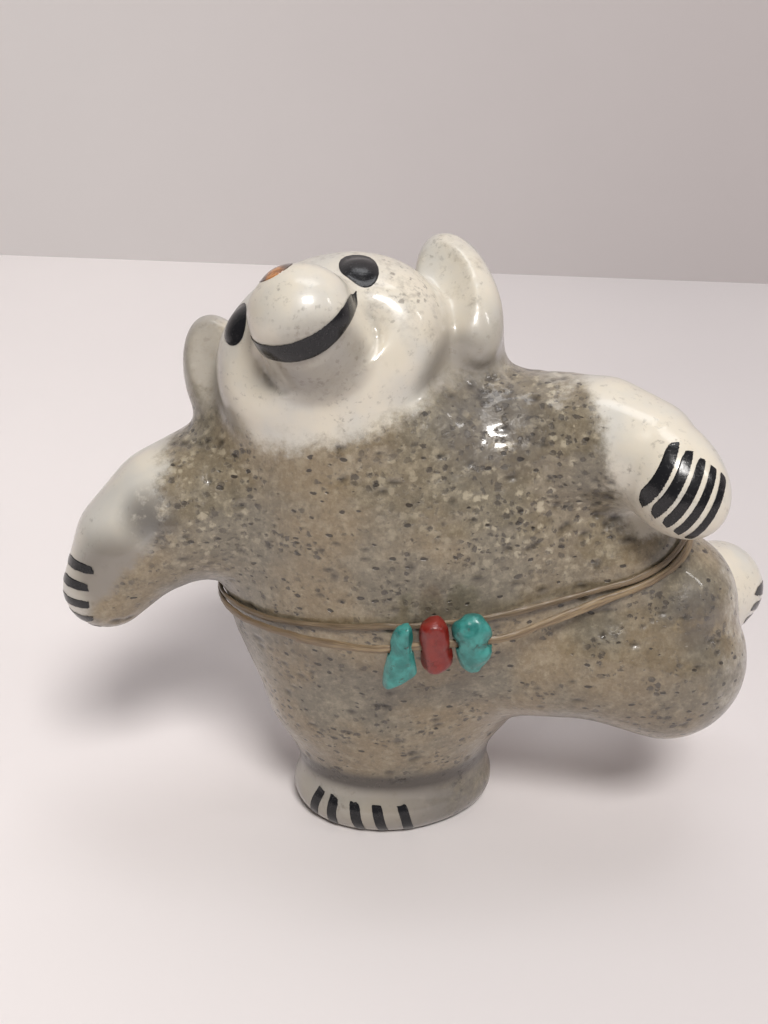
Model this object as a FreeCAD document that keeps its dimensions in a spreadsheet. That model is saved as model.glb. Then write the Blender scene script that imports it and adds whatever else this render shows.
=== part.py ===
"""Dancing bear figurine carved from antler, with jet inlays and a sinew cord that carries three nuggets.

Frame: +Z is up, the bear faces -Y and X runs to the viewer's right. The origin is the middle of the
sole that it stands on. Left and right are the viewer's. All sizes are in millimetres and degrees.
"""
import FreeCAD, Part
import math
import os
from FreeCAD import Placement, Rotation, Vector

DOC = FreeCAD.newDocument("DancingBear")
SHEET = DOC.addObject("Spreadsheet::Sheet", "Sizes")

UP = Vector(0, 0, 1)
SIDEWAYS = Vector(1, 0, 0)
BACKWARDS = Vector(0, 1, 0)

SIZES = {
    # head, measured along its own width, depth and height
    "head_width": 9.5, "head_depth": 6.6, "head_height": 7.4,
    "dish_width": 6.2, "dish_depth": 3.4, "dish_height": 3.6,
    "muzzle_width": 4.2, "muzzle_depth": 3.8, "muzzle_height": 3.9,
    "muzzle_root": 5.4, "muzzle_front": 3.8, "muzzle_length": 5.0,
    "ear_width": 3.2, "ear_depth": 3.0, "ear_height": 6.2,
    "hollow_width": 2.5, "hollow_depth": 2.4, "hollow_height": 4.8,
    "nape_width": 10.5, "nape_depth": 8.0, "nape_height": 7.0,
    # right hand
    "palm_length": 5.6, "palm_depth": 3.9, "palm_width": 4.0,
    # inlays
    "eye_radius": 1.6, "nose_radius": 1.25, "inlay_depth": 0.9,
    "mouth_outer": 4.7, "mouth_inner": 6.6,
    "core_width": 3.3, "core_depth": 2.9, "core_height": 3.0,
    "paw_wheel": 7.0, "palm_wheel": 20.0, "foot_wheel": 3.5, "claw_depth": 0.85, "palm_claw_depth": 1.5,
    "claw_left_width": 0.65, "claw_right_width": 0.6, "claw_foot_width": 0.85, "claw_raised_width": 0.7,
    # cord and nuggets
    "cord_lower": 0.38, "cord_upper": 0.3, "bore": 0.48, "bore_length": 8.0, "knot_size": 0.95, "knot_tail": 0.3,
    "chip_width": 1.2, "chip_depth": 1.1, "chip_height": 2.8, "edge_wear": 0.55,
    "coral_width": 1.3, "coral_depth": 1.15, "coral_height": 2.35,
    "lobe_width": 1.55, "lobe_depth": 1.2, "lobe_height": 1.6,
}

# (heading in degrees from straight ahead, lean in degrees, height) of each claw of the standing foot
STANDING_CLAWS = [(-54, -16, 3.2), (-43, 0, 2.4), (-26, 15, 2.1), (-10, 16, 2.1), (9, 18, 2.1)]

# (height, centre x, centre y, half width, half depth, turn) of each cross-section
TRUNK = [
    (2.0, 0.0, 0.3, 8.4, 6.2, 9), (5.0, 0.0, 0.3, 9.0, 6.8, 8), (8.0, 0.1, 0.2, 10.2, 7.6, 7),
    (11.0, 0.4, 0.2, 12.0, 8.6, 6), (14.0, 0.9, 0.0, 13.2, 9.2, 5), (17.0, 1.6, 0.0, 14.9, 9.8, 3),
    (21.0, 2.4, 0.0, 17.0, 10.8, 1), (26.0, 3.0, 0.0, 18.4, 11.2, 0), (31.0, 2.6, 0.0, 18.4, 11.2, 0),
    (36.0, 0.6, 0.0, 16.5, 10.4, 0), (40.0, -1.6, 0.0, 13.2, 9.4, 0), (43.5, -2.8, 0.0, 9.5, 7.4, 0),
]
FOOT = [
    (0.0, 0.0, -0.2, 8.3, 6.2, 9), (0.8, 0.0, -0.2, 9.1, 7.0, 9), (2.0, 0.0, -0.2, 9.4, 7.4, 9),
    (3.2, 0.0, -0.2, 9.1, 7.1, 9), (4.2, 0.0, -0.2, 8.4, 6.2, 9),
]
# (x, y, z, radius) of each round stretch of a limb, from inside the trunk outwards
ARM_LEFT = [(-8.0, 0.0, 32.6, 7.2), (-14.5, -1.2, 31.8, 6.7), (-18.5, -2.3, 30.8, 6.0),
            (-21.8, -3.6, 28.6, 5.0), (-24.2, -4.8, 25.2, 3.7)]
ARM_RIGHT = [(3.0, 0.0, 35.0, 7.8), (11.8, -2.5, 37.2, 6.0), (16.3, -4.5, 38.3, 5.2), (19.6, -6.8, 38.2, 4.4)]
THIGH = [(6.0, -1.0, 19.2, 8.0), (12.0, -2.5, 19.6, 7.8), (17.8, -4.0, 19.8, 7.4), (23.4, -4.4, 17.9, 7.2),
         (23.2, -3.2, 22.6, 6.4)]
SHIN = [(21.0, -1.5, 18.0, 6.6), (26.5, 3.5, 18.5, 5.6), (30.4, 6.4, 18.6, 4.3)]
NECK = [(5.4, 0.6, 46.0, 3.4), (5.6, -0.2, 39.0, 3.8)]

# (x, y, z, how far from the corner its arc begins) along the two turns, from the knot round to the knot
LOWER_TURN = [
    (2.6, 11.7, 25.4, 0.0), (-2.4, 11.7, 24.6, 4.0), (-10.6, 8.5, 23.4, 3.5), (-15.4, 3.1, 22.7, 3.0),
    (-15.4, -3.1, 22.5, 3.0), (-10.8, -8.5, 23.0, 3.5), (-2.0, -13.4, 24.15, 1.0), (8.8, -13.4, 25.25, 1.0),
    (14.2, -10.9, 26.2, 2.5), (20.4, -9.1, 27.7, 2.5), (24.8, -5.6, 29.4, 2.4), (24.8, 0.6, 29.9, 3.0),
    (19.8, 6.8, 28.8, 3.6), (8.6, 11.7, 26.4, 4.0), (3.4, 11.7, 25.5, 0.0),
]
UPPER_TURN = [
    (2.6, 11.5, 26.2, 0.0), (-2.4, 11.5, 25.4, 4.0), (-10.6, 8.4, 24.2, 3.5), (-15.4, 3.1, 23.5, 3.0),
    (-15.4, -3.1, 23.3, 3.0), (-10.6, -8.4, 23.8, 3.5), (-2.0, -11.4, 24.8, 4.6), (8.0, -11.4, 25.9, 3.2),
    (14.2, -10.0, 27.0, 2.5), (20.2, -9.0, 28.5, 2.5), (24.7, -5.6, 30.2, 2.4), (24.7, 0.6, 30.7, 3.0),
    (19.6, 6.7, 29.6, 3.6), (8.6, 11.5, 27.2, 4.0), (3.4, 11.5, 26.3, 0.0),
]
BEAD_RUN = LOWER_TURN[6:8]

HEAD_CENTRE = Vector(-4.84, -3.5, 44.7)
HEAD_TURN, HEAD_LIFT, HEAD_TILT = 22, 42, 31.5
HEAD = Placement(HEAD_CENTRE, Rotation(UP, -HEAD_TURN) * Rotation(SIDEWAYS, -HEAD_LIFT)
                 * Rotation(BACKWARDS, -HEAD_TILT))


def fill_sheet():
    """Write every driving size into the sheet, one named cell to a row."""
    for row, (alias, value) in enumerate(SIZES.items(), start=1):
        SHEET.set(f"A{row}", alias)
        SHEET.set(f"B{row}", str(value))
        SHEET.setAlias(f"B{row}", alias)
    DOC.recompute()


def add(kind, name, placement=None, **bound):
    """Make one object and bind its sizes to cells or formulas of cells."""
    made = DOC.addObject(kind, name)
    made.Label = name
    for size, formula in bound.items():
        made.setExpression(size, formula)
    if placement is not None:
        made.Placement = placement
    return made


def cell(alias):
    return f"Sizes.{alias}"


def new_cell(alias, value):
    """Add one more named size to the sheet."""
    row = len(SIZES) + 1
    SIZES[alias] = value
    SHEET.set(f"A{row}", alias)
    SHEET.set(f"B{row}", str(value))
    SHEET.setAlias(f"B{row}", alias)
    return cell(alias)


def in_head(across, forward, above):
    """A placement in the head: across to the viewer's right, forward along the snout, above towards the brow."""
    return HEAD * Placement(Vector(across, -forward, above), Rotation())


def ellipsoid(name, placement, prefix):
    """An ellipsoid whose half sizes are the cells prefix_width, prefix_depth and prefix_height."""
    return add("Part::Ellipsoid", name, placement, Radius2=cell(prefix + "_width"),
               Radius3=cell(prefix + "_depth"), Radius1=cell(prefix + "_height"))


def combine(kind, name, members):
    made = add(kind, name)
    made.Shapes = members
    return made


def cut(name, base, tool):
    made = add("Part::Cut", name)
    made.Base = base
    made.Tool = tool
    return made


def common(name, base, tool):
    made = add("Part::Common", name)
    made.Base = base
    made.Tool = tool
    return made


def stacked_loft(name, sections):
    """A solid through level elliptical cross-sections."""
    outlines = []
    for number, (level, x, y, half_width, half_depth, turn) in enumerate(sections, start=1):
        wide = new_cell(f"{name}_width_{number}", half_width)
        deep = new_cell(f"{name}_depth_{number}", half_depth)
        place = Placement(Vector(x, y, level), Rotation(UP, turn))
        outlines.append(add("Part::Ellipse", f"{name}_outline_{number}", place, MajorRadius=wide, MinorRadius=deep))
    solid = add("Part::Loft", name)
    solid.Sections = outlines
    solid.Solid = True
    return solid


def limb(name, stretches):
    """Round stretches joined by cones that touch them smoothly."""
    pieces = []
    previous = None
    for number, (x, y, z, radius) in enumerate(stretches, start=1):
        centre = Vector(x, y, z)
        size = new_cell(f"{name}_radius_{number}", radius)
        pieces.append(add("Part::Sphere", f"{name}_ball_{number}", Placement(centre, Rotation()), Radius=size))
        if previous is not None:
            before, before_size, before_radius = previous
            run = centre - before
            lean = (before_radius - radius) / run.Length
            flat = math.sqrt(1 - lean * lean)
            direction = Vector(run).normalize()
            start = before + direction * before_radius * lean
            height = run.Length - (before_radius - radius) * lean
            pieces.append(add("Part::Cone", f"{name}_taper_{number}", Placement(start, Rotation(UP, direction)),
                              Radius1=f"{before_size} * {flat}", Radius2=f"{size} * {flat}",
                              Height=f"{height}"))
        previous = (centre, size, radius)
    return pieces


class Paw:
    """The round end of a limb, as the ellipsoid that its claws are cut into."""

    def __init__(self, centre, radii, rotation=Rotation()):
        self.centre = Vector(*centre)
        self.radii = radii
        self.axes = [rotation.multVec(axis) for axis in (SIDEWAYS, BACKWARDS, UP)]

    def reach(self, offset, outward):
        """How far the surface is from centre + offset, along outward."""
        square, cross, rest = 0.0, 0.0, -1.0
        for axis, radius in zip(self.axes, self.radii):
            along = outward.dot(axis) / radius
            aside = offset.dot(axis) / radius
            square += along * along
            cross += along * aside
            rest += aside * aside
        return (-cross + math.sqrt(cross * cross - square * rest)) / square


def claw_wheel(name, rim_point, outward, bar, wheel, width, depth):
    """The saw disc that cuts one claw: it enters the surface at rim_point and the claw lies along bar."""
    axle = outward.cross(bar).normalize()
    centre = rim_point + outward * (SIZES[wheel] - SIZES[depth])
    start = centre - axle * (SIZES[width] / 2)
    return add("Part::Cylinder", name, Placement(start, Rotation(UP, axle)), Radius=cell(wheel), Height=cell(width))


def claw_row(name, paw, outward, bar, pitch, width, wheel="paw_wheel", depth="claw_depth"):
    """Five parallel claws across a paw."""
    outward = Vector(*outward).normalize()
    bar = Vector(*bar)
    bar = (bar - outward * bar.dot(outward)).normalize()
    axle = outward.cross(bar)
    wheels = []
    for number in range(1, 6):
        offset = axle * (pitch * (number - 3))
        rim_point = paw.centre + offset + outward * paw.reach(offset, outward)
        wheels.append(claw_wheel(f"{name}_{number}", rim_point, outward, bar, wheel, width, depth))
    return wheels


def foot_claws(name, claws):
    """Claws round the edge of the standing foot, each given by its heading, its lean and its height."""
    _, x, y, half_width, half_depth, turn = FOOT[2]
    wheels = []
    for number, (angle, lean, level) in enumerate(claws, start=1):
        foot = Paw((x, y, level), (half_width, half_depth, 1.0), Rotation(UP, turn))
        heading = math.radians(angle)
        outward = Vector(math.sin(heading), -math.cos(heading), 0)
        rim_point = foot.centre + outward * foot.reach(Vector(), outward)
        bar = Rotation(outward, lean).multVec(UP)
        wheels.append(claw_wheel(f"{name}_{number}", rim_point, outward, bar, "foot_wheel", "claw_foot_width",
                                 "claw_depth"))
    return wheels


def rounded_route(corners):
    """Straight runs joined by tangent arcs, through corners given as (x, y, z, where the arc begins)."""
    points = [Vector(x, y, z) for x, y, z, _ in corners]
    edges = []
    reached = points[0]
    for index in range(1, len(points) - 1):
        corner = points[index]
        leg = corners[index][3]
        back = (points[index - 1] - corner).normalize()
        ahead = (points[index + 1] - corner).normalize()
        half_angle = back.getAngle(ahead) / 2
        radius = leg * math.tan(half_angle)
        middle = corner + (back + ahead).normalize() * (radius / math.sin(half_angle))
        nearest = middle + (corner - middle).normalize() * radius
        edges.append(Part.LineSegment(reached, corner + back * leg).toShape())
        reached = corner + ahead * leg
        edges.append(Part.Arc(corner + back * leg, nearest, reached).toShape())
    edges.append(Part.LineSegment(reached, points[-1]).toShape())
    return Part.Wire(edges)


def cord_turn(name, corners, radius_alias):
    """One turn of cord round the waist, as a round profile swept along its route."""
    spine = add("Part::Feature", name + "_route")
    spine.Shape = rounded_route(corners)
    first = spine.Shape.Edges[0]
    start = first.valueAt(first.FirstParameter)
    heading = first.tangentAt(first.FirstParameter)
    profile = add("Part::Circle", name + "_profile", Placement(start, Rotation(UP, heading)),
                  Radius=cell(radius_alias))
    turn = add("Part::Sweep", name + "_tube")
    turn.Sections = [profile]
    turn.Spine = spine
    turn.Solid = True
    turn.Frenet = False
    return turn


fill_sheet()

# the carving before any inlay is let in
trunk = stacked_loft("trunk", TRUNK)
foot = stacked_loft("foot", FOOT)
nape = ellipsoid("nape", Placement(Vector(-3.5, 0.6, 41.5), Rotation()), "nape")

skull = ellipsoid("skull", in_head(0, 0, 1.1), "head")
dish = ellipsoid("dish", in_head(0, 6.4, -1.6), "dish")
face = cut("face", skull, dish)
snout = ellipsoid("snout", in_head(0, 7.2, 0.6), "muzzle")
bridge_place = in_head(0, 2.2, 0.2) * Placement(Vector(), Rotation(UP, -BACKWARDS))
bridge = add("Part::Cone", "bridge", bridge_place, Radius1=cell("muzzle_root"), Radius2=cell("muzzle_front"),
             Height=cell("muzzle_length"))

ears = []
for side, across, above, seam in (("left", -10.1, 4.0, 0), ("right", 10.6, 2.6, 180)):
    # each surface's seam is turned towards the skull, where the join hides it
    seam_inwards = Placement(Vector(), Rotation(UP, seam))
    shell = ellipsoid(f"ear_shell_{side}", in_head(across, -3.2, above) * seam_inwards, "ear")
    hollow = ellipsoid(f"ear_hollow_{side}", in_head(across * 0.93, 0.2, above + 0.7) * seam_inwards, "hollow")
    ears.append(cut(f"ear_{side}", shell, hollow))

palm_along = Vector(0.53, -0.65, -0.55)
palm_turn = Rotation(palm_along, Vector(-0.48, -0.76, 0.43), Vector(), "XYZ")
palm_place = Placement(Vector(21.2, -9.0, 37.4), palm_turn)
palm = add("Part::Ellipsoid", "palm", palm_place, Radius2=cell("palm_length"), Radius3=cell("palm_depth"),
           Radius1=cell("palm_width"))

hip = limb("hip", [(17.5, -2.5, 28.0, 7.0)])
neck = limb("neck", NECK)
arms = limb("arm_left", ARM_LEFT) + limb("arm_right", ARM_RIGHT)
raised_leg = limb("thigh", THIGH) + limb("shin", SHIN)
blank = combine("Part::MultiFuse", "blank",
                [trunk, foot, nape, face, snout, bridge, palm] + ears + neck + hip + arms + raised_leg)

# the tools that cut a seat for each inlay
tools = {}
for side, across in (("left", -5.0), ("right", 5.0)):
    eye_place = in_head(across, 4.4, 3.45) * Placement(Vector(), Rotation(UP, Vector(across * 0.11, -1, 0.18)))
    eye = add("Part::Cylinder", f"eye_{side}_tool", eye_place, Radius=cell("eye_radius"), Height="8 * Sizes.inlay_depth")
    tools[f"eye_{side}"] = eye

nose_place = in_head(-0.4, 8.9, 2.9) * Placement(Vector(), Rotation(UP, Vector(0, -1, 0.9)))
tools["nose"] = add("Part::Cylinder", "nose_tool", nose_place, Radius=cell("nose_radius"),
                    Height="5 * Sizes.inlay_depth")

# the smile is a crescent between two cylinders, let into the snout to an even depth
mouth_turn = Placement(Vector(), Rotation(UP, Vector(0, -0.83, -0.556)))
outer_arc = add("Part::Cylinder", "mouth_outer_arc", in_head(0, 6.9, 3.27) * mouth_turn,
                Radius=cell("mouth_outer"), Height="8 * Sizes.inlay_depth")
inner_arc = add("Part::Cylinder", "mouth_inner_arc", in_head(0, 7.05, 7.08) * mouth_turn,
                Radius=cell("mouth_inner"), Height="12 * Sizes.inlay_depth")
crescent = cut("mouth_crescent", outer_arc, inner_arc)
snout_core = ellipsoid("snout_core", in_head(0, 7.2, 0.6), "core")
tools["mouth"] = cut("mouth_tool", crescent, snout_core)

left_paw = Paw((-24.0, -4.6, 25.1), (3.9, 3.9, 4.9))
right_paw = Paw((21.2, -9.0, 37.4), (5.6, 3.9, 4.0), palm_turn)
raised_paw = Paw(SHIN[-1][:3], (4.3, 4.3, 4.3))
rows = {
    "claw_hand_left": claw_row("claw_hand_left_tool", left_paw, (-0.72, -0.69, 0.0), (0.7, -0.7, 0.1),
                               1.5, "claw_left_width"),
    "claw_hand_right": claw_row("claw_hand_right_tool", right_paw, (0.18, -0.97, 0.12), (-0.42, -0.33, -0.85),
                                1.04, "claw_right_width", "palm_wheel", "palm_claw_depth"),
    "claw_foot_raised": claw_row("claw_foot_raised_tool", raised_paw, (0.72, -0.45, -0.52), (0, 1, 0),
                                 1.3, "claw_raised_width"),
    "claw_foot_standing": foot_claws("claw_foot_standing_tool", STANDING_CLAWS),
}
for row, wheels in rows.items():
    for number, wheel in enumerate(wheels, start=1):
        tools[f"{row}_{number}"] = wheel

inlays = [common(name, blank, tool) for name, tool in tools.items()]
seats = combine("Part::MultiFuse", "seats", list(tools.values()))
antler_body = cut("antler_body", blank, seats)

# the cord: two turns round the waist, one of them threaded through the nuggets in front of the belly
lower_raw = cord_turn("cord_lower", LOWER_TURN, "cord_lower")
upper_raw = cord_turn("cord_upper", UPPER_TURN, "cord_upper")
cord_lower_turn = cut("cord_lower_turn", lower_raw, blank)
cord_upper_turn = cut("cord_upper_turn", upper_raw, blank)

# the knot that closes both turns at the back, with its two short tails
knot_place = Placement(Vector(3.0, 12.3, 25.85), Rotation())
knot_turn = Placement(Vector(), Rotation(UP, Vector(), BACKWARDS, "XZY"))
knot_core = add("Part::Sphere", "knot_core", knot_place * knot_turn, Radius=cell("knot_size"))
tails = []
for side, lean in (("left", -35), ("right", 25)):
    tail_place = knot_place * Placement(Vector(), Rotation(BACKWARDS, 180 + lean) * Rotation(SIDEWAYS, 8))
    tails.append(add("Part::Cylinder", f"knot_tail_{side}", tail_place, Radius=cell("knot_tail"),
                     Height="4 * Sizes.knot_size"))
knot_raw = combine("Part::MultiFuse", "knot_raw", [knot_core] + tails)
both_turns = combine("Part::MultiFuse", "both_turns", [lower_raw, upper_raw])
cord_knot = cut("cord_knot", knot_raw, both_turns)


def on_bead_line(along, above=0.0):
    """A placement on the straight run that carries the nuggets."""
    start, end = [Vector(x, y, z) for x, y, z, _ in BEAD_RUN]
    run = (end - start).normalize()
    tilt = Rotation(SIDEWAYS, run)
    return Placement(start + run * (along - start.x), tilt) * Placement(Vector(0, 0, above), Rotation())


def worn_block(name, placement, prefix):
    """A block whose half sizes are the cells prefix_width, prefix_depth and prefix_height, its edges worn round."""
    corner = Vector(-SIZES[prefix + "_width"], -SIZES[prefix + "_depth"], -SIZES[prefix + "_height"])
    block = add("Part::Box", name + "_block", placement * Placement(corner, Rotation()),
                Length=f"2 * Sizes.{prefix}_width", Width=f"2 * Sizes.{prefix}_depth",
                Height=f"2 * Sizes.{prefix}_height")
    worn = add("Part::Fillet", name + "_worn")
    worn.Base = block
    DOC.recompute()
    worn.Edges = [(edge, SIZES["edge_wear"], SIZES["edge_wear"]) for edge in range(1, 13)]
    return worn


def nugget(name, along, lumps):
    """A rough bead: its lumps joined, with a bore along the cord."""
    stone = lumps[0] if len(lumps) == 1 else combine("Part::MultiFuse", f"{name}_stone", lumps)
    bore_place = on_bead_line(along - 4.0) * Placement(Vector(), Rotation(UP, SIDEWAYS))
    bore = add("Part::Cylinder", f"{name}_bore", bore_place, Radius=cell("bore"), Height=cell("bore_length"))
    return cut(name, stone, bore)


chip = worn_block("chip", on_bead_line(0.5, -0.7), "chip")
left_nugget = nugget("nugget_turquoise_left", 0.5, [chip])
coral = worn_block("coral", on_bead_line(3.2), "coral")
coral_nugget = nugget("nugget_coral", 3.2, [coral])

upper_lobe = ellipsoid("upper_lobe", on_bead_line(6.2, 0.9), "lobe")
lower_lobe = ellipsoid("lower_lobe", on_bead_line(6.1, -1.2), "lobe")
right_nugget = nugget("nugget_turquoise_right", 6.2, [upper_lobe, lower_lobe])

DOC.recompute()
finished = [antler_body] + inlays + [cord_lower_turn, cord_upper_turn, cord_knot,
                                   left_nugget, coral_nugget, right_nugget]
problems = [made.Name for made in DOC.Objects if "Invalid" in made.State or "Error" in made.State]
if problems:
    raise RuntimeError(f"these objects failed to build: {problems}")
os.makedirs("parts", exist_ok=True)
for made in finished:
    if made.Shape.isNull() or not made.Shape.isValid():
        raise RuntimeError(f"{made.Name} has no valid shape")
    made.Shape.exportStep(f"parts/{made.Label}.step")
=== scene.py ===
"""A dancing bear carved from antler, with jet inlays and three nuggets on a waxed sinew cord."""
import math
import random

import bmesh
import bpy
import numpy as np
from mathutils import Matrix, Vector
from mathutils.bvhtree import BVHTree
from mathutils.kdtree import KDTree


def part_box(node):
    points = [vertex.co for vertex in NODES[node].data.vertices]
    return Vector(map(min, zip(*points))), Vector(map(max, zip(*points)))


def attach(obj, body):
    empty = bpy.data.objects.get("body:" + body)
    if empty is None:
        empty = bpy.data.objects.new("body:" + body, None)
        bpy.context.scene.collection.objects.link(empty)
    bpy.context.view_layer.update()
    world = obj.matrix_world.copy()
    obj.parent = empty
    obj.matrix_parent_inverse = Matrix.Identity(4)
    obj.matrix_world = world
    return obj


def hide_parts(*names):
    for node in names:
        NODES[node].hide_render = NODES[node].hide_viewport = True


MM = 0.001
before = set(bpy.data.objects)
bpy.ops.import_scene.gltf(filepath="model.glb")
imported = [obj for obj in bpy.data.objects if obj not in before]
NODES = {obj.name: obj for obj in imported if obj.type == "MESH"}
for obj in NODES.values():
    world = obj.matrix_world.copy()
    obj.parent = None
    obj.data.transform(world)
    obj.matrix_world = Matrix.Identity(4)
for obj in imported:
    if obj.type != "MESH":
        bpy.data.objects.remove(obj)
INLAY_NODES = [n for n in sorted(NODES) if n.startswith(("eye_", "nose", "mouth", "claw_"))]
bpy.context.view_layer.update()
rng = random.Random(7)

# the pieces are shaped in millimetres, and scaled to metres when they are finished
BODY_VOXEL = 0.28
FINE_VOXEL = 0.13

# the head's own centre and axes
HEAD = np.array((-4.84, -3.5, 44.7))
HEAD_RIGHT = np.array((0.922, 0.006, 0.388))
HEAD_FORWARD = np.array((-0.277, -0.689, 0.669))
HEAD_UP = np.array((-0.271, 0.725, 0.634))


# ---------------------------------------------------------------- mesh helpers

def vertex_array(mesh):
    co = np.empty(len(mesh.vertices) * 3)
    mesh.vertices.foreach_get("co", co)
    return co.reshape(-1, 3)


def set_vertices(mesh, co):
    mesh.vertices.foreach_set("co", np.ascontiguousarray(co, dtype=np.float32).ravel())
    mesh.update()


def normal_array(mesh):
    out = np.empty(len(mesh.vertices) * 3, dtype=np.float32)
    mesh.vertex_normals.foreach_get("vector", out)
    return out.reshape(-1, 3).astype(float)


def cad_copy(*names):
    """The named CAD nodes' meshes as one mesh, in millimetres."""
    grown = bmesh.new()
    for name in names:
        grown.from_mesh(NODES[name].data)
    bmesh.ops.scale(grown, vec=(1 / MM,) * 3, verts=grown.verts)
    mesh = bpy.data.meshes.new("cad_copy")
    grown.to_mesh(mesh)
    grown.free()
    return mesh


def voxel_shell(mesh, voxel):
    """The mesh as one closed skin of small even faces."""
    work = bpy.data.objects.new("work", mesh)
    bpy.context.scene.collection.objects.link(work)
    remesh = work.modifiers.new("remesh", "REMESH")
    remesh.mode = "VOXEL"
    remesh.voxel_size = voxel
    shell = bpy.data.meshes.new_from_object(work.evaluated_get(bpy.context.evaluated_depsgraph_get()))
    bpy.data.objects.remove(work)
    return shell


class Neighbours:
    """Averages over each vertex's neighbours."""

    def __init__(self, mesh):
        ends = np.empty(len(mesh.edges) * 2, dtype=np.int64)
        mesh.edges.foreach_get("vertices", ends)
        self.a, self.b = ends.reshape(-1, 2).T
        self.count = len(mesh.vertices)
        self.degree = np.maximum(np.bincount(ends, minlength=self.count), 1)

    def mean(self, values):
        total = np.bincount(self.a, values[self.b], self.count)
        total += np.bincount(self.b, values[self.a], self.count)
        return total / self.degree

    def mean_points(self, co):
        return np.stack([self.mean(co[:, axis]) for axis in range(3)], axis=1)

    def rub(self, co, amount, rounds=1):
        """Moves the points towards their neighbours' mean, in place."""
        for _ in range(rounds):
            co += amount * (self.mean_points(co) - co)


def fill_hollows(mesh, ring, co, strength):
    """Raises the points that lie below their neighbours, in place, and gives their pull sideways."""
    set_vertices(mesh, co)
    normals = normal_array(mesh)
    pull = ring.mean_points(co) - co
    rise = np.einsum("ij,ij->i", pull, normals)
    co += normals * (np.clip(rise, 0, None) * strength)[:, None]
    return pull - normals * rise[:, None]


def main_island(mesh):
    """The mesh without the crumbs that a remesh can leave beside it."""
    ring = Neighbours(mesh)
    label = np.arange(ring.count)
    settled = False
    while not settled:
        lowest = label.copy()
        np.minimum.at(lowest, ring.a, label[ring.b])
        np.minimum.at(lowest, ring.b, label[ring.a])
        lowest = lowest[lowest]
        settled = (lowest == label).all()
        label = lowest
    biggest = np.bincount(label).argmax()
    grown = bmesh.new()
    grown.from_mesh(mesh)
    crumbs = [v for v in grown.verts if label[v.index] != biggest]
    bmesh.ops.delete(grown, geom=crumbs, context="VERTS")
    grown.to_mesh(mesh)
    grown.free()
    return mesh


def join_meshes(meshes):
    grown = bmesh.new()
    for mesh in meshes:
        grown.from_mesh(mesh)
    bmesh.ops.recalc_face_normals(grown, faces=grown.faces)
    joined = bpy.data.meshes.new("joined")
    grown.to_mesh(joined)
    grown.free()
    return joined


def smooth_step(values, start, end):
    t = np.clip((values - start) / (end - start), 0, 1)
    return t * t * (3 - 2 * t)


def near(co, centre, radius, soft):
    """1 inside a ball, falling to 0 over its soft border."""
    away = np.linalg.norm(co - np.array(centre), axis=1)
    return 1 - smooth_step(away, radius, radius + soft)


def strongest(co, places):
    """The strongest of some soft balls at each point."""
    return np.maximum.reduce([share * near(co, *ball) for share, *ball in places])


def value_noise(co, size, seed):
    """Smooth noise from 0 to 1 whose bumps are about size millimetres."""
    cells_a_side = 32
    grid = np.random.default_rng(seed).random((cells_a_side,) * 3)
    at = co / size + 100.0
    base = np.floor(at).astype(int)
    part = at - base
    part = part * part * (3 - 2 * part)
    total = np.zeros(len(co))
    for corner in np.ndindex(2, 2, 2):
        weight = np.where(corner, part, 1 - part).prod(axis=1)
        i, j, k = ((base + corner) % cells_a_side).T
        total += weight * grid[i, j, k]
    return total


def head_places(co):
    """Each point across, ahead and above, seen from the head."""
    return (co - HEAD) @ HEAD_RIGHT, (co - HEAD) @ HEAD_FORWARD, (co - HEAD) @ HEAD_UP


def store(mesh, name, values):
    """Keeps one number at each vertex, for a material to read."""
    attribute = mesh.attributes.new(name, "FLOAT", "POINT")
    attribute.data.foreach_set("value", np.ascontiguousarray(values, dtype=np.float32))


def finished_piece(name, mesh, body, material, nodes):
    """Turns a mesh in millimetres into a shown piece that rides on its body and replaces the CAD nodes."""
    mesh.transform(Matrix.Scale(MM, 4))
    mesh.name = name
    mesh.materials.clear()
    mesh.materials.append(material)
    mesh.polygons.foreach_set("use_smooth", [True] * len(mesh.polygons))
    mesh.update()
    piece = bpy.data.objects.new(name, mesh)
    bpy.context.scene.collection.objects.link(piece)
    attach(piece, body)
    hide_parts(*nodes)


# ---------------------------------------------------------------- material helpers

def node(tree, kind, values=None, **settings):
    """A shader node; a value that is a socket is linked, any other is set."""
    made = tree.nodes.new("ShaderNode" + kind)
    for name, value in settings.items():
        setattr(made, name, value)
    for name, value in (values or {}).items():
        if isinstance(value, bpy.types.NodeSocket):
            tree.links.new(value, made.inputs[name])
        else:
            made.inputs[name].default_value = value
    return made


def math_node(tree, operation, a, b=0.0):
    return node(tree, "Math", {0: a, 1: b}, operation=operation).outputs[0]


def times(tree, a, b):
    return math_node(tree, "MULTIPLY", a, b)


def scaled(tree, value, factor, offset):
    """value * factor + offset"""
    return node(tree, "Math", {0: value, 1: factor, 2: offset}, operation="MULTIPLY_ADD").outputs[0]


def vector_node(tree, operation, a, b):
    return node(tree, "VectorMath", {0: a, 1: b}, operation=operation).outputs[0]


def mix(tree, factor, a, b):
    return node(tree, "Mix", {0: factor, 6: a, 7: b}, data_type="RGBA").outputs[2]


def tinted(tree, colour, tint, mask, share):
    """The colour, turned towards the tint by that share where the mask is 1."""
    return mix(tree, times(tree, mask, share), colour, tint)


def ramp(tree, value, low, high):
    """0 at low and 1 at high, smooth between."""
    values = {"Value": value, "From Min": low, "From Max": high}
    return node(tree, "MapRange", values, interpolation_type="SMOOTHSTEP").outputs[0]


def noise(tree, place, scale, detail=2.0, roughness=0.5, distortion=0.0):
    values = {"Vector": place, "Scale": scale, "Detail": detail, "Roughness": roughness}
    values["Distortion"] = distortion
    return node(tree, "TexNoise", values).outputs[0]


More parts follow.
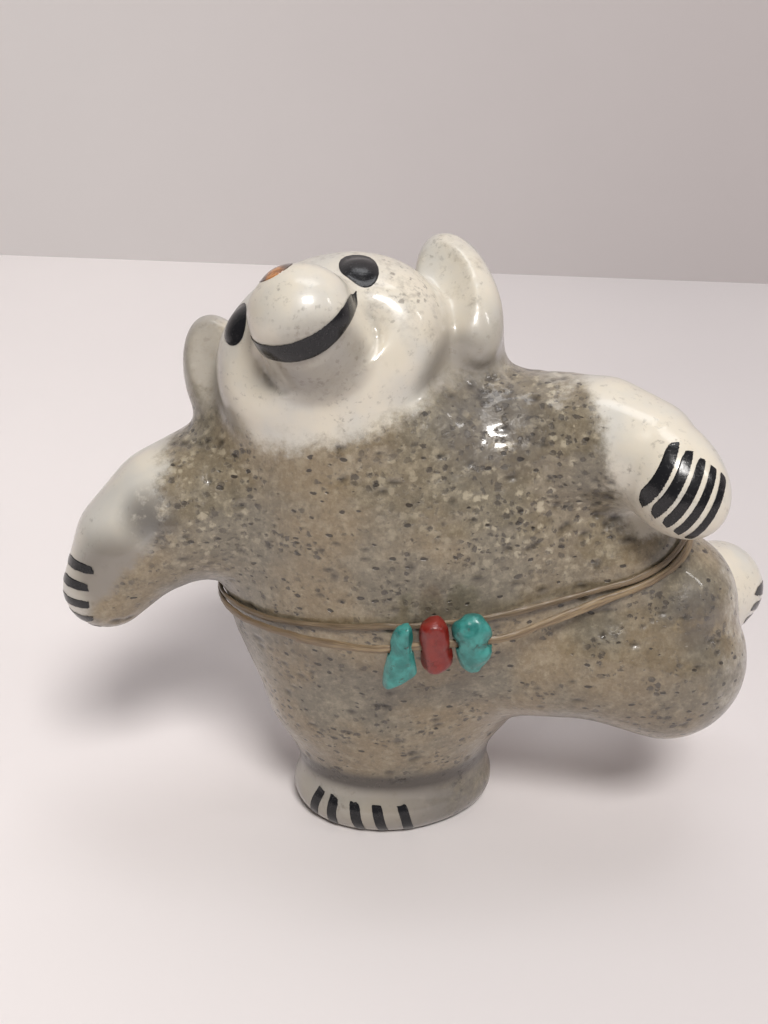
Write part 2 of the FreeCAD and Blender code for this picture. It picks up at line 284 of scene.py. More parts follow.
def cells(tree, place, scale, stretch):
    """Voronoi distance and a random value per cell."""
    moved = vector_node(tree, "MULTIPLY", place, stretch)
    made = node(tree, "TexVoronoi", {"Vector": moved, "Scale": scale, "Randomness": 1.0})
    return made.outputs["Distance"], node(tree, "SeparateColor", {0: made.outputs["Color"]}).outputs[0]


def specks(tree, place, scale, spread, offset, soft):
    """Ragged specks of mixed sizes; the offset below 0 leaves some cells without one."""
    distance, chance = cells(tree, place, scale, (1.0, 1.0, 1.25))
    ragged = scaled(tree, noise(tree, place, 2.6 * scale, 3.0, 0.7), 1.1, -0.55)
    size = math_node(tree, "ADD", scaled(tree, chance, spread, offset), ragged)
    return ramp(tree, math_node(tree, "SUBTRACT", size, distance), -soft, soft)


def attribute(tree, name):
    return node(tree, "Attribute", attribute_name=name).outputs["Fac"]


def sideways(tree, place):
    return node(tree, "SeparateXYZ", {0: place}).outputs[0]


def new_material(name):
    """A material, its tree, its surface shader, and the object's coordinates in millimetres."""
    material = bpy.data.materials.new(name)
    material.use_nodes = True
    tree = material.node_tree
    raw = node(tree, "TexCoord").outputs["Object"]
    place = vector_node(tree, "MULTIPLY", raw, (1 / MM,) * 3)
    return material, tree, tree.nodes["Principled BSDF"], place


def link_surface(tree, shader, colour, roughness):
    tree.links.new(colour, shader.inputs["Base Color"])
    tree.links.new(roughness, shader.inputs["Roughness"])


def set_inputs(shader, **values):
    for name, value in values.items():
        shader.inputs[name.replace("_", " ")].default_value = value


def bump(tree, shader, height, distance_mm, strength):
    made = node(tree, "Bump", {"Height": height, "Distance": distance_mm * MM, "Strength": strength})
    tree.links.new(made.outputs[0], shader.inputs["Normal"])


# ---------------------------------------------------------------- materials

IVORY = (0.70, 0.645, 0.54, 1)
COOL_WHITE = (0.60, 0.58, 0.53, 1)
TAN = (0.235, 0.178, 0.105, 1)
ASH = (0.173, 0.149, 0.108, 1)
FLECK_LIGHT = (0.48, 0.42, 0.31, 1)
# dark flecks of the core, and also the colour of the painted shade in creases
DARK_FLECK_AND_CREASE_SHADE = (0.060, 0.050, 0.042, 1)
PORE = (0.022, 0.016, 0.012, 1)
# grey of the clouds and freckles on the dense parts, and also the colour of painted shade
GREY_MOTTLE_AND_SHADE = (0.20, 0.175, 0.148, 1)
# colour of the stains and of painted shade
STAIN_AND_SHADE_GREY = (0.10, 0.092, 0.088, 1)
JET_BLACK = (0.012, 0.012, 0.014, 1)
JET_DUST = (0.05, 0.048, 0.048, 1)
SHELL_BROWN = (0.22, 0.08, 0.025, 1)
SHELL_AMBER = (0.50, 0.20, 0.05, 1)
SHELL_EDGE = (0.050, 0.026, 0.018, 1)
TURQUOISE_DEEP = (0.014, 0.15, 0.135, 1)
TURQUOISE_PALE = (0.052, 0.29, 0.26, 1)
TURQUOISE_VEIN = (0.05, 0.04, 0.03, 1)
CORAL_DEEP = (0.165, 0.006, 0.003, 1)
CORAL_PALE = (0.225, 0.018, 0.010, 1)
CORAL_VEIN = (0.08, 0.010, 0.007, 1)
SINEW_LIGHT_PALE = (0.36, 0.27, 0.16, 1)
SINEW_LIGHT_DEEP = (0.16, 0.11, 0.065, 1)
SINEW_DARK_PALE = (0.27, 0.20, 0.125, 1)
SINEW_DARK_DEEP = (0.14, 0.10, 0.06, 1)
# floor and wall colours with painted light falloff from the lit left to the shaded right
FLOOR_LIT_LEFT = (0.86, 0.815, 0.81, 1)
FLOOR_SHADED_RIGHT = (0.65, 0.615, 0.62, 1)
WALL_LIT_LEFT = (0.72, 0.69, 0.685, 1)
WALL_SHADED_RIGHT = (0.54, 0.50, 0.50, 1)
STUDIO_AIR = (0.93, 0.90, 0.90, 1)


def warped_place(tree, place):
    """The coordinates pushed about, so that no cell or cloud has a straight side."""
    push = node(tree, "TexNoise", {"Vector": place, "Scale": 1.1, "Detail": 2.0}).outputs["Color"]
    return vector_node(tree, "ADD", place, vector_node(tree, "MULTIPLY", push, (0.45, 0.45, 0.45)))


def ivory_colour(tree, place, warped):
    """The dense outside: cream to cool white, with faint clouds and freckles, and painted shade greying the
    recesses, lower ears, left palm and standing foot.
    """
    colour = mix(tree, ramp(tree, noise(tree, place, 0.22, 3.0), 0.35, 0.7), IVORY, COOL_WHITE)
    clouds = ramp(tree, noise(tree, warped, 1.5, 5.0, 0.7), 0.54, 0.70)
    clouds = times(tree, clouds, ramp(tree, noise(tree, place, 0.28, 2.0), 0.42, 0.62))
    colour = tinted(tree, colour, GREY_MOTTLE_AND_SHADE, clouds, 0.6)
    smoke = times(tree, ramp(tree, noise(tree, place, 0.9, 5.0, 0.7), 0.46, 0.70), 0.6)
    freckles = math_node(tree, "MAXIMUM", specks(tree, warped, 1.5, 0.56, -0.20, 0.10), smoke)
    freckles = times(tree, freckles, attribute(tree, "freckle"))
    colour = tinted(tree, colour, GREY_MOTTLE_AND_SHADE, freckles, 0.7)
    # painted shade, where the hollow attribute is high
    return tinted(tree, colour, GREY_MOTTLE_AND_SHADE, attribute(tree, "hollow"), 0.95)


def core_colour(tree, place, warped, fine):
    """The spongy core, tan to ash with pale and dark granules, and where the dark ones are."""
    sponge = attribute(tree, "sponge")
    colour = mix(tree, ramp(tree, noise(tree, place, 0.12, 3.0), 0.4, 0.62), TAN, ASH)
    colour = tinted(tree, colour, ASH, sponge, 0.6)
    clouds = ramp(tree, noise(tree, warped, 0.9, 5.0, 0.65), 0.42, 0.74)
    colour = tinted(tree, colour, FLECK_LIGHT, clouds, 0.35)
    colour = tinted(tree, colour, FLECK_LIGHT, ramp(tree, fine, 0.50, 0.72), 0.35)
    colour = tinted(tree, colour, DARK_FLECK_AND_CREASE_SHADE, ramp(tree, fine, 0.50, 0.30), 0.40)
    light = specks(tree, warped, 1.2, 0.60, -0.14, 0.20)
    light = times(tree, light, scaled(tree, sponge, 0.75, 0.04))
    colour = mix(tree, light, colour, FLECK_LIGHT)
    patches = ramp(tree, noise(tree, place, 0.30, 3.0), 0.45, 0.62)
    amount = math_node(tree, "MAXIMUM", times(tree, sponge, 0.9), patches)
    dark = times(tree, specks(tree, warped, 1.7, 0.80, -0.26, 0.14), amount)
    return tinted(tree, colour, DARK_FLECK_AND_CREASE_SHADE, dark, 0.8), dark


def pore_dots(tree, warped, core):
    """Small dark pores, in the core only."""
    distance, chance = cells(tree, warped, 1.15, (0.7, 1.0, 1.3))
    size = scaled(tree, chance, 0.40, -0.12)
    dots = ramp(tree, math_node(tree, "SUBTRACT", size, distance), -0.03, 0.06)
    return times(tree, dots, ramp(tree, core, 0.3, 0.8))


def antler_material():
    """Polished antler: dense ivory outside, a spongy speckled core where the carving cuts deeper."""
    material, tree, shader, place = new_material("polished_antler")
    warped = warped_place(tree, place)
    edge = noise(tree, place, 0.5, 6.0, 0.75)
    core = math_node(tree, "ADD", attribute(tree, "core"), scaled(tree, edge, 1.5, -0.75))
    core = ramp(tree, core, 0.14, 0.86)
    fine = noise(tree, place, 2.2, 5.0, 0.75)
    ground, dark = core_colour(tree, place, warped, fine)
    colour = mix(tree, core, ivory_colour(tree, place, warped), ground)

    dots = pore_dots(tree, warped, core)
    colour = tinted(tree, colour, PORE, dots, 0.85)
    colour = tinted(tree, colour, PORE, attribute(tree, "pit"), 0.8)
    # stains, and painted shade at the knee, below it, at the neck and under the left arm
    stain_and_shade = times(tree, attribute(tree, "stain_and_shade"), ramp(tree, noise(tree, warped, 0.7, 4.0, 0.6), 0.25, 0.50))
    colour = tinted(tree, colour, STAIN_AND_SHADE_GREY, stain_and_shade, 0.85)
    # painted shade: the creases and the ankle band darkened towards the dark fleck colour
    painted_crease_shade = times(tree, attribute(tree, "crease_shade"), ramp(tree, fine, 0.15, 0.42))
    colour = tinted(tree, colour, DARK_FLECK_AND_CREASE_SHADE, painted_crease_shade, 0.95)
    link_surface(tree, shader, colour, scaled(tree, noise(tree, place, 0.8, 3.0), 0.22, 0.22))

    holes = times(tree, math_node(tree, "ADD", dark, dots), 0.8)
    grain = scaled(tree, noise(tree, place, 2.6, 4.0, 0.6), 0.5, 0.0)
    grain = math_node(tree, "SUBTRACT", grain, holes)
    grain = times(tree, grain, scaled(tree, core, 0.92, 0.08))
    bump(tree, shader, grain, 0.10, 0.8)
    set_inputs(shader, Coat_Weight=0.6, Coat_Roughness=0.07, IOR=1.54, Subsurface_Weight=0.12,
               Subsurface_Radius=(1.0, 0.8, 0.6), Subsurface_Scale=0.6 * MM)
    return material


def jet_material():
    """Polished jet: near black, with fine polishing marks and dust."""
    material, tree, shader, place = new_material("polished_jet")
    dust = ramp(tree, noise(tree, place, 3.0, 5.0, 0.7), 0.5, 0.8)
    link_surface(tree, shader, tinted(tree, JET_BLACK, JET_DUST, dust, 0.5), scaled(tree, dust, 0.25, 0.2))
    bump(tree, shader, noise(tree, place, 6.0, 3.0), 0.02, 0.5)
    set_inputs(shader, Coat_Weight=0.06, Coat_Roughness=0.12, IOR=1.45)
    return material


def nose_material():
    """Streaked amber-brown shell, nearly black where the rim attribute is 1."""
    material, tree, shader, place = new_material("dark_shell")
    streak = ramp(tree, noise(tree, place, 1.4, 4.0, 0.6, 0.6), 0.38, 0.62)
    colour = mix(tree, streak, SHELL_BROWN, SHELL_AMBER)
    colour = mix(tree, attribute(tree, "rim"), colour, SHELL_EDGE)
    link_surface(tree, shader, colour, times(tree, streak, 0.3))
    bump(tree, shader, streak, 0.03, 0.4)
    set_inputs(shader, Coat_Weight=0.5, Coat_Roughness=0.08, IOR=1.55)
    return material


def stone_material(name, deep, pale, vein, vein_share):
    """A tumbled nugget: mottled from deep to pale, with a fine matrix of veins in places."""
    material, tree, shader, place = new_material(name)
    mottle = ramp(tree, noise(tree, place, 0.9, 5.0, 0.6, 0.4), 0.35, 0.68)
    line = math_node(tree, "SUBTRACT", noise(tree, place, 0.8, 6.0, 0.62, 0.8), 0.5)
    line = ramp(tree, math_node(tree, "ABSOLUTE", line), 0.022, 0.004)
    line = times(tree, line, ramp(tree, noise(tree, place, 0.7, 2.0), 0.5, 0.6))
    colour = tinted(tree, mix(tree, mottle, deep, pale), vein, line, vein_share)
    link_surface(tree, shader, colour, scaled(tree, mottle, 0.18, 0.28))
    height = math_node(tree, "SUBTRACT", noise(tree, place, 2.2, 4.0, 0.6), line)
    bump(tree, shader, height, 0.08, 0.6)
    set_inputs(shader, Coat_Weight=0.25, Coat_Roughness=0.12, IOR=1.6, Subsurface_Weight=0.08,
               Subsurface_Radius=(0.6, 0.8, 0.8), Subsurface_Scale=0.4 * MM)
    return material


def sinew_material(name, pale, deep):
    """Waxed sinew: long fibres, straw colour with darker waxy stretches and a dark left end."""
    material, tree, shader, place = new_material(name)
    along = node(tree, "CombineXYZ", {0: attribute(tree, "along"), 1: attribute(tree, "around")}).outputs[0]
    fibre = noise(tree, vector_node(tree, "MULTIPLY", along, (0.35, 9.0, 1.0)), 1.0, 4.0, 0.6)
    wax = ramp(tree, noise(tree, place, 0.16, 3.0), 0.4, 0.62)
    colour = mix(tree, ramp(tree, fibre, 0.32, 0.7), deep, pale)
    colour = tinted(tree, colour, deep, wax, 0.45)
    left_end = ramp(tree, sideways(tree, place), -4.0, -12.0)
    colour = tinted(tree, colour, deep, left_end, 0.7)
    link_surface(tree, shader, colour, times(tree, fibre, 0.9))
    bump(tree, shader, fibre, 0.06, 0.8)
    set_inputs(shader, Coat_Weight=0.15, Coat_Roughness=0.25, Subsurface_Weight=0.15,
               Subsurface_Radius=(0.9, 0.6, 0.35), Subsurface_Scale=0.4 * MM)
    return material


def paper_material(name, left, right, reach):
    """Plain paper with painted light falloff: lit at the left and painted darker to the right."""
    material, tree, shader, place = new_material(name)
    # painted light falloff across the paper
    side = ramp(tree, sideways(tree, place), -reach, reach)
    uneven = scaled(tree, noise(tree, place, 0.02, 2.0), 0.2, -0.1)
    side = node(tree, "Math", {0: side, 1: uneven}, operation="ADD", use_clamp=True).outputs[0]
    tree.links.new(mix(tree, side, left, right), shader.inputs["Base Color"])
    bump(tree, shader, noise(tree, place, 1.5, 3.0), 0.03, 0.3)
    set_inputs(shader, Roughness=0.85, Specular_IOR_Level=0.2)
    return material


# ---------------------------------------------------------------- the carved body

CREASE_ROUNDS = 150
JAW_ROUNDS = 60
PALM = (21.2, -9.0, 37.4)
RAISED_TOES = (30.4, 6.4, 18.6)
LEFT_PALM = (-22.0, -7.0, 27.3)
EAR_FOOT = (5.0, -4.8, 44.2)
ANKLE_HEIGHT = 5.65
PORE_COUNT = 350

# soft round patches: share, middle, radius and soft border
COARSE_CORE = (
    (1.0, (11.0, -4.0, 36.0), 6.0, 7.0),        # shoulder of the raised arm
    (0.8, (-15.0, -4.0, 33.0), 4.0, 5.0),       # the other shoulder
    (0.6, (3.0, -9.0, 40.0), 4.0, 6.0),         # throat
    (0.55, (14.0, 6.0, 30.0), 6.0, 9.0),        # flank, towards the back
    (0.5, (-8.0, 8.0, 24.0), 5.0, 8.0),         # lower back
)
# darker patches; those at the knee, below it, between ear and raised arm and under the left arm are painted
# shade
STAINS_AND_PAINTED_SHADE = (
    (1.0, (-19.4, -6.5, 32.4), 1.3, 2.2),       # bend of the left arm
    # painted shadow of the raised hand over a grey patch
    (0.8, (25.0, -9.5, 24.6), 1.2, 3.2),        # knee
    # painted shade on the thigh
    (0.32, (23.5, -7.0, 20.0), 4.0, 6.0),       # below the knee
    # painted shade between ear and shoulder
    (0.7, (7.5, -7.5, 41.0), 2.4, 3.6),         # between ear and raised arm
    # painted shade under the arm
    (0.45, (-17.0, -3.0, 26.0), 1.0, 4.0),      # under the left arm
    (0.5, (6.0, -6.0, 1.5), 2.0, 4.0),          # edge of the standing foot
)


def soften_creases(mesh, rounds):
    """Fills the creases between limbs and trunk into soft hollows, and leaves the swells alone."""
    ring = Neighbours(mesh)
    co = vertex_array(mesh)
    ring.rub(co, 0.5, 3)
    in_head = near(co, HEAD + HEAD_FORWARD, 16.0, 3.0) * smooth_step(co[:, 2], 37.5, 41.0)
    in_head *= 1 - 0.8 * smooth_step(np.abs(head_places(co)[0]), 7.0, 9.5)
    at_foot = 1 - smooth_step(co[:, 2], 2.0, 6.0)
    strength = 1 - np.maximum(in_head, 0.9 * at_foot)
    strength *= 1 - 0.6 * near(co, PALM, 5.0, 3.0)
    for step in range(rounds):
        along_skin = fill_hollows(mesh, ring, co, strength)
        if step % 6 == 0:
            co += 0.4 * strength[:, None] * along_skin
    ring.rub(co, (0.5 * strength)[:, None], 4)
    stand_on_floor(mesh, co)


def stand_on_floor(mesh, co):
    co[:, 2] = np.maximum(co[:, 2], 0.0)
    set_vertices(mesh, co)


def zone_values(co):
    """How far each point is in the spongy core, how coarse the core is there, and where it is stained or
    darkened with painted shade.
    """
    x, y, z = co.T
    across, ahead, above = head_places(co)
    face = 1 - smooth_step(np.hypot(across / 10.2, (above - 1.1) / 8.3), 0.80, 1.18)
    face *= smooth_step(ahead, -4.0, -1.5)
    ears = 0.85 * smooth_step(z + 3.5 * smooth_step(-across, 8.0, 10.0), 41.0, 46.0)
    left_hand = smooth_step(0.9 * (z - 29.0) - x - 19.0, 0.2, 4.0) * smooth_step(-x, 16.5, 20.5)
    right_hand = smooth_step(x - 15.6 - 0.32 * (41.0 - z), -2.0, 2.0) * smooth_step(z, 30.0, 32.5)
    far_knee = 0.35 * smooth_step(x, 25.0, 29.0)
    raised_foot = near(co, RAISED_TOES, 5.4, 1.5)
    sole = 0.85 * (1 - smooth_step(z, 5.0, 6.4)) * (1 - 0.6 * smooth_step(x, 2.0, 6.5))
    dense = np.maximum.reduce([face, ears, left_hand, right_hand, far_knee, raised_foot, sole])
    return 1 - dense, strongest(co, COARSE_CORE), strongest(co, STAINS_AND_PAINTED_SHADE)


def muzzle_distance(across, above):
    """How far from the muzzle's middle, seen from the front."""
    return np.hypot(across, (above + 1.0) / 0.88)


def face_relief(co):
    """The hollow under the muzzle and the thick rim of the jaw round it, along the normal."""
    across, ahead, above = head_places(co)
    away = muzzle_distance(across, above)
    below = smooth_step(-above, -2.5, 1.0)
    hollow = 0.6 * np.exp(-((away - 5.4) / 1.3) ** 2) * below * smooth_step(ahead, 1.0, 3.5)
    rim = 0.40 * np.exp(-((away - 8.4) / 1.5) ** 2) * below * smooth_step(ahead, -1.0, 2.0)
    return rim - hollow


def skin_relief(co, core, sponge):
    """The core's fine knobs and the carving's slow swell, along the normal."""
    knobs = value_noise(co, 1.3, 3) + 0.5 * value_noise(co, 0.65, 5) - 0.75
    swell = value_noise(co, 6.0, 9) - 0.5
    free = 1 - near(co, HEAD + 6 * HEAD_FORWARD, 9.0, 3.0)
    return 0.16 * knobs * core * (0.25 + sponge) + 0.22 * swell * free


def jaw_softness(co):
    """1 where the carving between muzzle and jaw is rubbed smooth."""
    across, ahead, above = head_places(co)
    away = muzzle_distance(across, above)
    ring = smooth_step(away, 4.6, 5.8) * (1 - smooth_step(away, 8.6, 10.5))
    return ring * smooth_step(ahead, -1.0, 1.5) * (1 - smooth_step(above, 2.0, 4.5))


def add_pits(co, normals, core, sponge):
    """Open pores of the core: small dents, in loose clusters."""
    tree = KDTree(len(co))
    for index, point in enumerate(co):
        tree.insert(point, index)
    tree.balance()
    depth = np.zeros(len(co))
    shade = np.zeros(len(co))
    cluster = value_noise(co, 4.5, 11)
    tries = 0
    made = 0
    while made < PORE_COUNT and tries < PORE_COUNT * 12:
        tries += 1
        index = rng.randrange(len(co))
        chance = core[index] * (0.15 + 0.85 * max(cluster[index] - 0.35, 0) * 2 + 0.7 * sponge[index])
        if core[index] < 0.6 or rng.random() > chance:
            continue
        made += 1
        radius = rng.uniform(0.34, 0.62)
        deep = radius * rng.uniform(0.16, 0.34)
        flat = rng.uniform(1.0, 2.4)
        middle = co[index]
        for _, other, _ in tree.find_range(middle, radius * 1.6):
            offset = co[other] - middle
            reach = math.sqrt(offset[0] ** 2 / flat + offset[1] ** 2 / flat + offset[2] ** 2 * flat)
            if reach < radius:
                bowl = (1 - (reach / radius) ** 2) ** 2
                depth[other] = max(depth[other], deep * bowl)
                shade[other] = max(shade[other], bowl)
    return co - normals * depth[:, None], shade


def inward_bend(co, normals, ring):
    """How hollow the skin is at each point, averaged over a few neighbours."""
    bend = np.einsum("ij,ij->i", ring.mean_points(co) - co, normals)
    for _ in range(6):
        bend = ring.mean(bend)
    return bend


def shade_values(co):
    """Painted shade on the dense parts, under the muzzle, on the lower ears, the left palm and the standing
    foot, and where they have freckles.
    """
    x, _, z = co.T
    across, _, above = head_places(co)
    under_nose = HEAD + 6.5 * HEAD_FORWARD - 2.6 * HEAD_UP
    recess = smooth_step(-above, 0.5, 2.5) * near(co, under_nose, 3.0, 2.2)
    ears = smooth_step(np.abs(across), 7.0, 9.5) * (1 - smooth_step(z, 44.5, 51.0))
    ears = np.maximum(ears, near(co, EAR_FOOT, 2.2, 3.0)) * smooth_step(z, 36.0, 38.5)
    ears *= near(co, HEAD, 16.0, 2.0)
    hand = near(co, LEFT_PALM, 3.0, 2.6)
    foot = (1 - smooth_step(z, 5.5, 6.5)) * (0.72 + 0.28 * smooth_step(x, -6.0, 3.0))
    # the painted shade, kept in the hollow attribute
    shade = np.maximum.reduce([0.65 * recess, 0.7 * ears, 0.95 * hand, 0.9 * foot])

    right_cheek = HEAD + 4.0 * HEAD_FORWARD + 7.5 * HEAD_RIGHT + 2.0 * HEAD_UP
    cheek = near(co, right_cheek, 1.5, 4.5)
    crown = 0.5 * smooth_step(above, 4.0, 7.0)
    return shade, np.clip(np.maximum.reduce([cheek, crown, 0.6 * recess]), 0, 1)


def carved_body():
    """The carving with its marks stored on it, and the same skin before the pores are dented in."""
    mesh = voxel_shell(cad_copy("antler_body", *INLAY_NODES), BODY_VOXEL)
    soften_creases(mesh, CREASE_ROUNDS)
    co = vertex_array(mesh)
    ring = Neighbours(mesh)
    normals = normal_array(mesh)
    bend = inward_bend(co, normals, ring)
    core, sponge, stain_and_shade = zone_values(co)
    co = co + normals * (skin_relief(co, core, sponge) + face_relief(co))[:, None]
    ring.rub(co, 0.5 * jaw_softness(co)[:, None], JAW_ROUNDS)
    stand_on_floor(mesh, co)
    smooth_mesh = mesh.copy()
    co, pits = add_pits(co, normals, core, sponge)
    stand_on_floor(mesh, co)

    # painted shade in the creases and in the band round the ankle, for the material to darken
    ankle = np.exp(-((co[:, 2] - ANKLE_HEIGHT) / 1.0) ** 2)
    crease_shade = np.clip(smooth_step(bend, 0.004, 0.03) * 0.45 + 1.3 * ankle, 0, 1)
    shade, freckle = shade_values(co)
    # hollow holds painted shade
    marks = {"core": core, "sponge": sponge, "stain_and_shade": stain_and_shade, "pit": pits, "crease_shade": crease_shade,
             "freckle": freckle, "hollow": shade}
    for name, values in marks.items():
        store(mesh, name, values)
    return mesh, smooth_mesh


def build_body(material):
    """The carving as a piece, and its skin for the other pieces to lie on."""
    mesh, smooth_mesh = carved_body()
    surface = BVHTree.FromPolygons([Vector(c) for c in vertex_array(smooth_mesh)],
                                   [tuple(p.vertices) for p in smooth_mesh.polygons])
    finished_piece("bear_body", mesh, "figure", material, ["antler_body"])
    return surface


# ---------------------------------------------------------------- inlays

# how far an inlay is raised before it is cut off level
LIFT = 0.45
EYE_SHIFT = -0.45 * HEAD_RIGHT + 0.25 * HEAD_UP
NO_SHIFT = np.zeros(3)
AS_CUT = (1.0, 1.0, 1.0)
TIP_CLAW = (1.35, 1.2, 2.0)
FOOT_CLAW = (1.0, 1.0, 1.2)


def inlay_style(name):
    """How an inlay differs from a plain claw."""
    if name == "nose":
        return dict(proud=0.05, dome=0.12)
    if name == "mouth":
        return dict(proud=0.07, rub=5)
    if name.startswith("eye_"):
        return dict(dome=0.30, tall=1.30, wide=0.88, shift=EYE_SHIFT, rub=4)
    if name == "claw_hand_left_1":
        return dict(grow=TIP_CLAW)
    if name.startswith("claw_foot_standing"):
        return dict(grow=FOOT_CLAW)
    return {}


def set_inlay(name, surface, proud=0.045, dome=0.0, tall=1.0, wide=1.0, shift=NO_SHIFT, grow=AS_CUT, rub=0):
    """An inlay polished level with the carving: its CAD solid, raised and cut off just above the surface."""
    mesh = main_island(voxel_shell(cad_copy(name), FINE_VOXEL))
    co = vertex_array(mesh)
    middle = co.mean(axis=0)
    co += np.outer((co - middle) @ HEAD_UP, HEAD_UP) * (tall - 1)
    co += np.outer((co - middle) @ HEAD_RIGHT, HEAD_RIGHT) * (wide - 1)
    co += shift
    middle = middle + shift
    # growth leaves the upper end where it is
    pivot = np.array((middle[0], middle[1], co[:, 2].max()))
    co = pivot + (co - pivot) * grow
    reach = 0.5 * np.sort(co.max(axis=0) - co.min(axis=0))[1]
    for index in range(len(co)):
        point = Vector(co[index])
        spot, normal, _, _ = surface.find_nearest(point)
        height = (point - spot).dot(normal) + LIFT
        away = np.linalg.norm(np.array(spot) - middle) / max(reach, 0.1)
        level = proud + dome * max(0.0, 1 - away * away)
        co[index] = spot + normal * min(height, level)
    Neighbours(mesh).rub(co, 0.5, rub)
    set_vertices(mesh, co)
    return mesh


def build_inlays(surface, jet, shell):
    for name in INLAY_NODES:
        mesh = set_inlay(name, surface, **inlay_style(name))
        if name == "nose":
            co = vertex_array(mesh)
            across = (co - co.mean(axis=0)) @ HEAD_RIGHT
            store(mesh, "rim", smooth_step(np.abs(across), 0.35, 1.1))
            finished_piece("nose_inlay", mesh, "figure", shell, [name])
        else:
            finished_piece(name + "_inlay", mesh, "figure", jet, [name])


# ---------------------------------------------------------------- cord

WAIST_MIDDLE = np.array((2.5, 0.0))
WAIST_SLOTS = 120
CORD_POINTS = 360
CORD_ROUNDS = 14
STRAND_SIDES = 22
KNOT_WRAPS = 3.0
KNOT_STEPS = 96
TAIL_STEPS = 24


def turn_line(name):
    """The middle line of one turn of cord, as even points round the waist."""
    co = vertex_array(cad_copy(name))
    angle = np.arctan2(co[:, 1] - WAIST_MIDDLE[1], co[:, 0] - WAIST_MIDDLE[0])
    slot_of = ((angle + math.pi) / (2 * math.pi) * WAIST_SLOTS).astype(int) % WAIST_SLOTS
    filled = [k for k in range(WAIST_SLOTS) if (slot_of == k).sum() >= 3]
    centres = np.array([0.5 * (co[slot_of == k].min(axis=0) + co[slot_of == k].max(axis=0)) for k in filled])
    order = np.array(filled + [filled[0] + WAIST_SLOTS]) / WAIST_SLOTS
    loop = np.vstack([centres, centres[:1]])
    at = np.linspace(order[0], order[-1], CORD_POINTS, endpoint=False)
    return np.stack([np.interp(at, order, loop[:, axis]) for axis in range(3)], axis=1)


def settle(line, surface, clearance):
    """Draws the line tight and smooth, and keeps it just off the carved surface."""
    for _ in range(CORD_ROUNDS):
        line = 0.5 * line + 0.25 * (np.roll(line, 1, axis=0) + np.roll(line, -1, axis=0))
        for index in range(len(line)):
            spot, normal, _, _ = surface.find_nearest(Vector(line[index]))
            height = (Vector(line[index]) - spot).dot(normal)
            if height < clearance:
                line[index] = np.array(spot + normal * clearance)
    return line


def tube_faces(count, sides, closed):
    """Quads between count rings of points, and end caps on an open tube."""
    faces = []
    for index in range(count if closed else count - 1):
        here, there = index * sides, (index + 1) % count * sides
        for k in range(sides):
            faces.append((here + k, here + (k + 1) % sides, there + (k + 1) % sides, there + k))
    if not closed:
        faces.append(tuple(reversed(range(sides))))
        faces.append(tuple(range((count - 1) * sides, count * sides)))
    return faces


def strand_mesh(line, surface, radius, flatten, grooves, twist, seed, closed=True):
    """A strand swept along a line: flat against the surface, with long fibres."""
    ahead = np.roll(line, -1, axis=0) - np.roll(line, 1, axis=0)
    if not closed:
        ahead[0], ahead[-1] = line[1] - line[0], line[-1] - line[-2]
    lengths = np.linalg.norm(np.diff(line, axis=0), axis=1)
    along = np.concatenate([[0], np.cumsum(lengths)])
    phases = np.random.default_rng(seed).uniform(0, 2 * math.pi, 4)
    points, alongs, arounds = [], [], []
    for index, s in enumerate(along):
        tangent = Vector(ahead[index]).normalized()
        _, normal, _, _ = surface.find_nearest(Vector(line[index]))
        out = (normal - tangent * normal.dot(tangent)).normalized()
        side = tangent.cross(out)
        width = 1 + 0.10 * math.sin(0.55 * s + phases[0]) + 0.06 * math.sin(1.7 * s + phases[1])
        for k in range(STRAND_SIDES):
            turn = 2 * math.pi * k / STRAND_SIDES
            groove = 1 + 0.07 * math.sin(grooves * (turn - twist * s) + phases[2])
            groove += 0.03 * math.sin((grooves + 4) * turn + 0.9 * s + phases[3])
            across = radius * width * groove * math.cos(turn)
            rise = radius * flatten * groove * math.sin(turn)
            points.append(Vector(line[index]) + side * across + out * rise)
            alongs.append(s)
            arounds.append(k / STRAND_SIDES)
    mesh = bpy.data.meshes.new("strand")
    mesh.from_pydata(points, [], tube_faces(len(line), STRAND_SIDES, closed))
    store(mesh, "along", np.array(alongs))
    store(mesh, "around", np.array(arounds))
    return mesh


def knot_mesh(surface):
    """Three wraps of sinew round both turns, and two cut tails."""
    low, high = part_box("cord_knot")
    x = 0.5 * (low.x + high.x) / MM
    y = 0.5 * (low.y + high.y) / MM
    z = high.z / MM - 0.95
    wraps = []
    for k in range(KNOT_STEPS + 1):
        turn = 2 * math.pi * KNOT_WRAPS * k / KNOT_STEPS
        across = x - 0.7 + 1.4 * k / KNOT_STEPS
        wraps.append((across, y + 0.05 - 0.58 * math.cos(turn), z + 0.72 * math.sin(turn)))
    parts = [strand_mesh(np.array(wraps), surface, radius=0.27, flatten=1.0, grooves=5, twist=0.6, seed=21,
                         closed=False)]
    for number, (lean, length) in enumerate(((-0.62, 3.0), (0.42, 2.6))):
        tail = []
        for k in range(TAIL_STEPS + 1):
            t = k / TAIL_STEPS
            across = x + 0.3 * lean + lean * length * t
            drop = length * t * (0.75 + 0.25 * t)
            tail.append((across, y + 0.1 + 0.5 * math.sin(2.6 * t), z - 0.2 - drop))
        parts.append(strand_mesh(np.array(tail), surface, radius=0.26, flatten=0.7, grooves=5, twist=0.6,
                                 seed=31 + number, closed=False))
    return join_meshes(parts)


